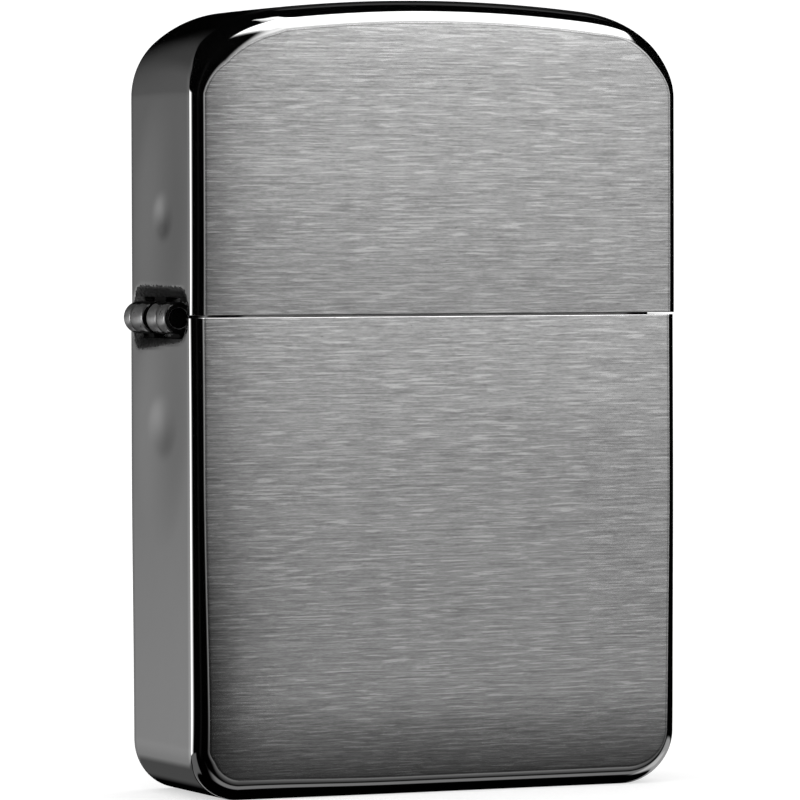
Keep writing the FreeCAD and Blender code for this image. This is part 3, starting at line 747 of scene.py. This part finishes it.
# ------------------------------------------------------------------ the hinge
BARREL_R = 1.15 * MM
BORE_R = 0.7 * MM
KNUCKLE_RIM = 0.14 * MM
PIN_R = 0.66 * MM
PIN_LOW, PIN_HIGH = -3.62 * MM, 4.1 * MM
PIN_BEVEL = 0.12 * MM
LEAF_START = 1.42 * MM
LEAF_HALF_W, LEAF_REACH = 4.9 * MM, 10.0 * MM
LEAF_CORNER_R, LEAF_BEVEL = 0.6 * MM, 0.1 * MM
LEAF_BLACK, LEAF_UNSHADED = 2.6 * MM, 3.6 * MM    # painted shade: a leaf is black nearer the pin, and unshaded further off
TAB_LIFT = 2.4 * MM          # from the seam to the tab that turns the cam
TAB_LENGTH, TAB_T, TAB_HALF_W = 1.4 * MM, 0.5 * MM, 0.7 * MM
TAB_CORNER_R, TAB_BEVEL = 0.12 * MM, 0.08 * MM
# the full value of the hinge's painted shade
GRIME_FULL = 1.6             # over 1, so that the noise in the material can't break it up
# the two ends of each knuckle along the pin, in millimetres
KNUCKLES = {"case": ((2.95, 4.3), (-2.1, -0.25)), "lid": ((0.6, 2.88), (-3.8, -2.18))}


def hinge_place(up):
    """Points of a leaf: u inwards from the pin, w towards the leaf's end, and height along Y."""
    return lambda u, w, y: (HINGE_X + u, y, HINGE_Z + up * w)


def knuckle_outline():
    """A strip that comes down from the leaf and rolls round the pin."""
    end = LEAF_START + 0.05 * MM
    meet = math.acos(BORE_R / BARREL_R)
    ring = [(BARREL_R, end * i / 3, 1.0, 0.0) for i in (3, 2, 1)]
    for i in range(49):
        a = -(2 * math.pi - meet) * i / 48
        ring.append((BARREL_R * math.cos(a), BARREL_R * math.sin(a), math.cos(a), math.sin(a)))
    return ring + [(BORE_R, end, -1.0, 0.0)]


def knuckle_shade(u, w, inset):
    """Painted shade: black in the recess above and below the exposed band, on the ends and in the bore."""
    if inset > KNUCKLE_RIM / 2 or math.hypot(u, w) < BORE_R * 1.02:
        return GRIME_FULL
    return GRIME_FULL * smoothstep(0.72 * BARREL_R, 1.04 * BARREL_R, abs(w))


def hinge(part, up, node):
    place = hinge_place(up)
    nodes = [node]
    for index, (low, high) in enumerate(KNUCKLES[part]):
        prism(f"knuckle_{part}_{index + 1}", [knuckle_outline(), circle(0, 0, -BORE_R)],
              bevel_levels(low * MM, high * MM, KNUCKLE_RIM), place, HINGE, part, nodes,
              knuckle_shade)

    def leaf_place(y, w, u):
        return place(u, w, y)

    # painted shade: the leaf goes black towards the pin
    def leaf_shade(y, w, inset):
        return GRIME_FULL * smoothstep(LEAF_UNSHADED, LEAF_BLACK, w)

    plate = rounded_rect((-LEAF_HALF_W, LEAF_HALF_W), (LEAF_START, LEAF_REACH), LEAF_CORNER_R)
    prism("leaf_" + part, [plate], bevel_levels(BORE_R, BARREL_R, LEAF_BEVEL), leaf_place, HINGE, part,
          nodes, leaf_shade)
    if part == "lid":
        lift = SEAM_Z - HINGE_Z + TAB_LIFT
        tab = rounded_rect((BARREL_R - 0.05 * MM, BARREL_R + TAB_LENGTH), (lift, lift + TAB_T), TAB_CORNER_R)
        prism("cam_tab", [tab], bevel_levels(-TAB_HALF_W, TAB_HALF_W, TAB_BEVEL), place, HINGE, part,
              nodes)


hinge("case", -1, "hinge_leaf_case")
hinge("lid", 1, "hinge_leaf_lid")
# painted shade: the pin is black all over
prism("pin", [circle(0, 0, PIN_R, 32)], bevel_levels(PIN_LOW, PIN_HIGH, PIN_BEVEL), hinge_place(1), HINGE,
      "case", ["hinge_pin"], lambda u, w, inset: GRIME_FULL)


# -------------------------------------------------------------- flint wheel
def knurled_wheel():
    """Wheel with a cross-knurled middle band between two toothed rims."""
    low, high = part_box("flint_wheel")
    x0, z0 = (low[0] + high[0]) / 2, (low[2] + high[2]) / 2
    radius, half = (high[2] - low[2]) / 2, (high[1] - low[1]) / 2
    around, across = 288, 37
    teeth, twist, depth = 36, 14.0, 0.34 * MM

    def tooth(phase):
        return abs(2 * (phase % 1.0) - 1)

    def surface(turn, t):
        """Radius at a turn from 0 to 1 and t from -1 to 1 across the wheel."""
        band = abs(t)
        if band < 0.4:
            cut = max(tooth(turn * teeth + t * twist / 4), tooth(turn * teeth - t * twist / 4)) ** 2
        else:
            cut = tooth(turn * teeth + 0.5) ** 1.5
        groove = 0.3 * MM * smoothstep(0.07, 0.02, abs(band - 0.43))
        chamfer = 0.35 * MM * smoothstep(0.9, 1.0, band)
        return radius - max(depth * cut, groove) - chamfer

    rims = [(t, None) for t in (2 * j / (across - 1) - 1 for j in range(across))]
    face_r = (radius - 1.0 * MM, radius - 1.25 * MM, 1.9 * MM, 1.7 * MM, 0.95 * MM)
    face_y = (0.0, 0.22 * MM, 0.22 * MM, 0.0, 0.0)
    rows = [(-half + dy, r) for r, dy in zip(face_r, face_y)][::-1] + rims
    rows += [(half - dy, r) for r, dy in zip(face_r, face_y)]
    verts = []
    for t, fixed in rows:
        for i in range(around):
            a = 2 * math.pi * i / around
            r = surface(i / around, t) if fixed is None else fixed
            y = t * half if fixed is None else t
            verts.append((x0 + r * math.cos(a), y, z0 + r * math.sin(a)))
    faces = []
    for j in range(len(rows)):
        for i in range(around):
            k, m = (j + 1) % len(rows), (i + 1) % around
            faces.append([j * around + i, j * around + m, k * around + m, k * around + i])
    piece = mesh_object("knurled_wheel", verts, faces, [WHEEL], "wheel", 30)
    tidy_normals(piece.data)
    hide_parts("flint_wheel")


knurled_wheel()


# ---------------------------------------------------------- wick and stuffing
def braided_wick():
    """Round braid with a frayed end."""
    low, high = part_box("wick")
    x0, radius = (low[0] + high[0]) / 2, (high[0] - low[0]) / 2
    length = high[2] - low[2] - 0.5 * MM
    around, rows = 64, 340
    strands, pitch = 6, 9.0 * MM
    verts, faces = [], []
    for j in range(rows + 1):
        z = low[2] + length * j / rows
        tuck = 0.35 * smoothstep(0.985, 1.0, j / rows) + 0.25 * smoothstep(0.01, 0.0, j / rows)
        for i in range(around):
            a = 2 * math.pi * i / around
            lead = 2 * math.pi * (z - low[2]) / pitch
            over = math.sin(strands * (a + lead)) * math.sin(strands * (a - lead))
            r = radius * (0.9 + 0.09 * over) * (1 - tuck)
            verts.append((x0 + r * math.cos(a), r * math.sin(a), z))
    for j in range(rows):
        for i in range(around):
            m = (i + 1) % around
            faces.append([j * around + i, j * around + m, (j + 1) * around + m, (j + 1) * around + i])
    faces.append(list(range(around))[::-1])
    faces.append([rows * around + i for i in range(around)])
    chance = random.Random(7)
    for _ in range(150):
        r = radius * 0.8 * math.sqrt(chance.random())
        a = 2 * math.pi * chance.random()
        lean = Vector((chance.uniform(-1, 1), chance.uniform(-1, 1), 0)) * 0.25 * MM
        foot = Vector((x0 + r * math.cos(a), r * math.sin(a), low[2] + length - 0.1 * MM))
        height = chance.uniform(0.25, 0.58) * MM
        thick = 0.05 * MM
        start = len(verts)
        for level, width in ((0.0, 1.0), (0.5, 0.8), (1.0, 0.35)):
            mid = foot + Vector((0, 0, height * level)) + lean * level ** 2
            for k in range(4):
                side = math.pi / 2 * k
                verts.append(tuple(mid + Vector((math.cos(side), math.sin(side), 0)) * thick * width))
        for level in range(2):
            for k in range(4):
                m = (k + 1) % 4
                base = start + 4 * level
                faces.append([base + k, base + m, base + 4 + m, base + 4 + k])
        faces.append([start + 3 - k for k in range(4)])
        faces.append([start + 8 + k for k in range(4)])
    piece = mesh_object("braided_wick", verts, faces, [WICK], "case", 60)
    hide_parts("wick")


def stuffing(node, name, material, voxel, inset, ripple, scale):
    """A wad or pad made from a CAD solid: remeshed, shrunk a little and roughened."""
    piece = bpy.data.objects.new(name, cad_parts[node].data.copy())
    bpy.context.scene.collection.objects.link(piece)
    remesh = piece.modifiers.new("remesh", "REMESH")
    remesh.mode, remesh.voxel_size = "VOXEL", voxel
    smooth = piece.modifiers.new("smooth", "SMOOTH")
    smooth.factor, smooth.iterations = 0.5, 4
    made = bpy.data.meshes.new_from_object(piece.evaluated_get(bpy.context.evaluated_depsgraph_get()))
    piece.modifiers.clear()
    piece.data = made
    normals = [v.normal.copy() for v in made.vertices]
    for v, normal in zip(made.vertices, normals):
        bump = noise.noise(v.co * scale) + 0.5 * noise.noise(v.co * scale * 2.3)
        v.co -= normal * (inset - ripple * bump)
    made.materials.clear()
    made.materials.append(material)
    made.shade_smooth()
    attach(piece, "case")
    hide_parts(node)


braided_wick()
for index in range(1, 6):
    stuffing(f"cotton_packing_{index}", f"cotton_wad_{index}", COTTON, 0.45 * MM, 0.16 * MM,
             0.12 * MM, 900)
stuffing("felt_pad", "felt_flap", FELT, 0.35 * MM, 0.05 * MM, 0.03 * MM, 1500)


# ------------------------------------------------------ the rest of the inside
for node, body, material, slot, width in (
        ("chamber_front", "case", UNIT, "unit_steel", 0.12),
        ("chamber_back", "case", UNIT, "unit_steel", 0.12),
        ("top_plate", "case", UNIT, "unit_steel", 0.1), ("wind_chimney", "case", UNIT, "unit_steel", 0.09),
        ("wheel_rivet", "case", BRASS, "brass", 0.14), ("cam", "cam", UNIT, "unit_steel", 0.12),
        ("cam_rivet", "case", BRASS, "brass", 0.12), ("cam_spring", "case", SPRING, "spring_steel", 0.05),
        ("cam_spring_rivet", "case", BRASS, "brass", 0.08), ("flint_tube", "case", BRASS, "brass", 0.09),
        ("flint_screw", "case", BRASS, "brass", 0.05), ("spring_tip", "flint_feed", BRASS, "brass", 0.09),
        ("flint", "flint_feed", FLINT, "flint_alloy", 0.12)):
    softened(node, body, material, width * MM)
coil = softened("flint_spring", "case", SPRING, 0.03 * MM)
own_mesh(coil)


# --------------------------------------------------------------- studio light
ROOM_WHITE = 1.15            # the world for the eye and for soft surfaces
STUDIO_DARK = 0.0004         # the world for gloss, where no light is
# planes through the middle that bound the softbox
SOFTBOX_EDGES = ((0.786, 0.408, 0.464), (-0.76, -0.319, 0.567), (0.057, -0.856, -0.515))
FLOOR_REACH = 6.0


def studio_world():
    """White to the eye and to soft surfaces, and a dark studio with soft lights to gloss.

    Angles are in degrees: azimuth counter-clockwise from +X, and elevation above the floor.
    """
    world = bpy.data.worlds.new("studio")
    bpy.context.scene.world = world
    world.use_nodes = True
    n = Nodes(world.node_tree)
    direction = n.add("ShaderNodeTexCoord").outputs["Generated"]
    axis = n.add("ShaderNodeSeparateXYZ", {0: direction})
    x, y, z = axis.outputs
    azimuth = n.math("MULTIPLY", n.math("ARCTAN2", y, x), 180 / math.pi)
    azimuth = n.math("WRAP", azimuth, 360.0)
    azimuth.node.inputs[2].default_value = 0.0
    elevation = n.math("MULTIPLY", n.math("ARCSINE", z), 180 / math.pi)

    def band(value, low, high, soft):
        return n.math("MULTIPLY", n.ramp(value, low - soft, low + soft),
                      n.ramp(value, high - soft, high + soft, 1.0, 0.0))

    def add_patch(total, across, upright, strength):
        return n.math("ADD", total, n.math("MULTIPLY", n.math("MULTIPLY", across, upright), strength))

    def facing(normal, low=-0.03, high=0.03):
        """One side of a plane through the middle, as a soft step."""
        dot = n.add("ShaderNodeVectorMath", {0: direction, 1: normal}, operation="DOT_PRODUCT")
        return n.ramp(dot.outputs["Value"], low, high)

    total = n.math("ADD", STUDIO_DARK, 0.0)
    # grey wall behind on the left: lighter towards the floor and to the left, dim above
    wall = n.math("MAXIMUM", n.math("SUBTRACT", 0.158, n.math("MULTIPLY", elevation, 0.019)), 0.1)
    wall = n.math("MULTIPLY", n.math("MINIMUM", wall, 0.27), n.ramp(azimuth, 104, 123, 0.7, 1.3))
    wall = n.math("MULTIPLY", wall, n.ramp(elevation, 10, 20, 1.15, 0.72))
    side = n.math("MULTIPLY", n.ramp(azimuth, 80, 106), n.ramp(azimuth, 136, 144, 1.0, 0.0))
    total = add_patch(total, side, band(elevation, -17, 28, 2), wall)
    total = add_patch(total, band(azimuth, 84, 130, 5), band(elevation, -24, -17, 1.5), 0.07)
    # upright strip on the left, soft on its far side
    strip = n.math("MULTIPLY", n.ramp(azimuth, 141, 147), n.ramp(azimuth, 158, 190, 1.0, 0.0))
    total = add_patch(total, strip, band(elevation, -14, 9, 2), 1.6)
    # dim ceiling behind, a faint strip on the left, and the far edge of the table in front
    total = add_patch(total, band(azimuth, 45, 74, 6), band(elevation, 22, 50, 5), 0.013)
    total = add_patch(total, band(azimuth, 25, 62, 6), band(elevation, 50, 62, 3), 0.05)
    total = add_patch(total, band(azimuth, 237, 249, 3), band(elevation, -20, 40, 8), 0.004)
    total = add_patch(total, band(azimuth, 266, 345, 10), band(elevation, -39, -26, 2), 0.2)
    # light from the pale table, away from the front and from the wall behind on the left
    around = n.math("SUBTRACT", 1.0, band(azimuth, 212, 310, 4))
    around = n.math("MULTIPLY", around, n.math("SUBTRACT", 1.0, band(azimuth, 50, 72, 3)))
    behind = n.math("MULTIPLY", band(azimuth, 70, 146, 3), n.ramp(elevation, -31, -27))
    around = n.math("MULTIPLY", around, n.math("SUBTRACT", 1.0, behind))
    from_left = n.math("ABSOLUTE", n.math("SUBTRACT", azimuth, 180))
    around = n.math("MULTIPLY", around, n.ramp(from_left, 40, 100, 0.35, 1.0))
    total = add_patch(total, around, band(elevation, -43, -15, 2), 0.35)
    # big softbox in front on the right, above the level of the eye
    softbox = n.math("MULTIPLY", facing(SOFTBOX_EDGES[0], -0.01, 0.1), facing(SOFTBOX_EDGES[1]))
    softbox = n.math("MULTIPLY", softbox, facing(SOFTBOX_EDGES[2]))
    total = add_patch(total, softbox, n.ramp(elevation, 10.0, 13.0), 2.0)
    # its glow on the wall below it, which fades towards the floor and the left
    glow = n.math("POWER", math.e, n.math("MULTIPLY", n.math("MINIMUM", elevation, 12.0), 0.105))
    glow = n.math("MULTIPLY", glow, n.ramp(azimuth, 290, 297, 0.95, 1.12))
    glow = n.math("MULTIPLY", glow, n.ramp(azimuth, 297.6, 300, 1.0, 0.0))
    glow = n.math("MULTIPLY", glow, n.ramp(elevation, -24, -17))
    total = add_patch(total, n.ramp(azimuth, 280.5, 290.5), glow, 0.4)
    path = n.add("ShaderNodeLightPath")
    level = n.add("ShaderNodeMix", {0: path.outputs["Is Glossy Ray"], 2: ROOM_WHITE, 3: total},
                  data_type="FLOAT").outputs[0]
    shade = n.add("ShaderNodeBackground", {"Color": n.grey(level), "Strength": 1.0})
    n.add("ShaderNodeOutputWorld", {"Surface": shade.outputs[0]})


def stage_plane(name, corners, material):
    mesh = bpy.data.meshes.new(name)
    mesh.from_pydata(corners, [], [[0, 1, 2, 3]])
    mesh.materials.append(material)
    plane = bpy.data.objects.new(name, mesh)
    bpy.context.scene.collection.objects.link(plane)
    return plane


def floor():
    material = bpy.data.materials.new("pale_floor")
    material.use_nodes = True
    n = Nodes(material.node_tree)
    tone = n.ramp(n.noise((40, 40, 40), 3), 0.3, 0.7, 0.52, 0.55)
    shader = n.add("ShaderNodeBsdfPrincipled", {"Base Color": n.grey(tone), "Roughness": 1.0,
                                                "Specular IOR Level": 0.0, "Emission Color": (1, 1, 1, 1),
                                                "Emission Strength": 0.55})
    n.add("ShaderNodeOutputMaterial", {"Surface": shader.outputs[0]})
    corners = [(a * FLOOR_REACH, b * FLOOR_REACH, BASE_Z) for a, b in ((-1, -1), (1, -1), (1, 1), (-1, 1))]
    plane = stage_plane("floor", corners, material)
    plane.visible_glossy = False


# --------------------------------------------------------------------- camera
VIEW_YAW = math.radians(23.683)
VIEW_PITCH = math.radians(-1.497)
VIEW_ROLL = math.radians(-0.1756)
VIEW_DISTANCE = 420.505 * MM
VIEW_ACROSS = 0.227 * MM
VIEW_UP = 0.3495 * MM
LENS = 259.0
SENSOR = 36.0


def camera():
    """The photograph's viewpoint: a long lens, a little to the left of the front."""
    ahead = Vector((math.sin(VIEW_YAW) * math.cos(VIEW_PITCH), math.cos(VIEW_YAW) * math.cos(VIEW_PITCH),
                    math.sin(VIEW_PITCH)))
    level = Vector((math.cos(VIEW_YAW), -math.sin(VIEW_YAW), 0))
    upright = level.cross(ahead)
    right = level * math.cos(VIEW_ROLL) + upright * math.sin(VIEW_ROLL)
    up = upright * math.cos(VIEW_ROLL) - level * math.sin(VIEW_ROLL)
    middle = Vector((0, 0, (BASE_Z + TOP_Z) / 2))
    place = middle - right * VIEW_ACROSS - up * VIEW_UP - ahead * VIEW_DISTANCE
    data = bpy.data.cameras.new("camera")
    data.lens, data.sensor_width = LENS, SENSOR
    data.clip_start, data.clip_end = 0.01, 50.0
    holder = bpy.data.objects.new("camera", data)
    bpy.context.scene.collection.objects.link(holder)
    turn = Matrix((right, up, -ahead)).transposed().to_4x4()
    holder.matrix_world = Matrix.Translation(place) @ turn
    bpy.context.scene.camera = holder


bpy.context.scene.view_settings.view_transform = "Standard"
camera()
studio_world()
floor()
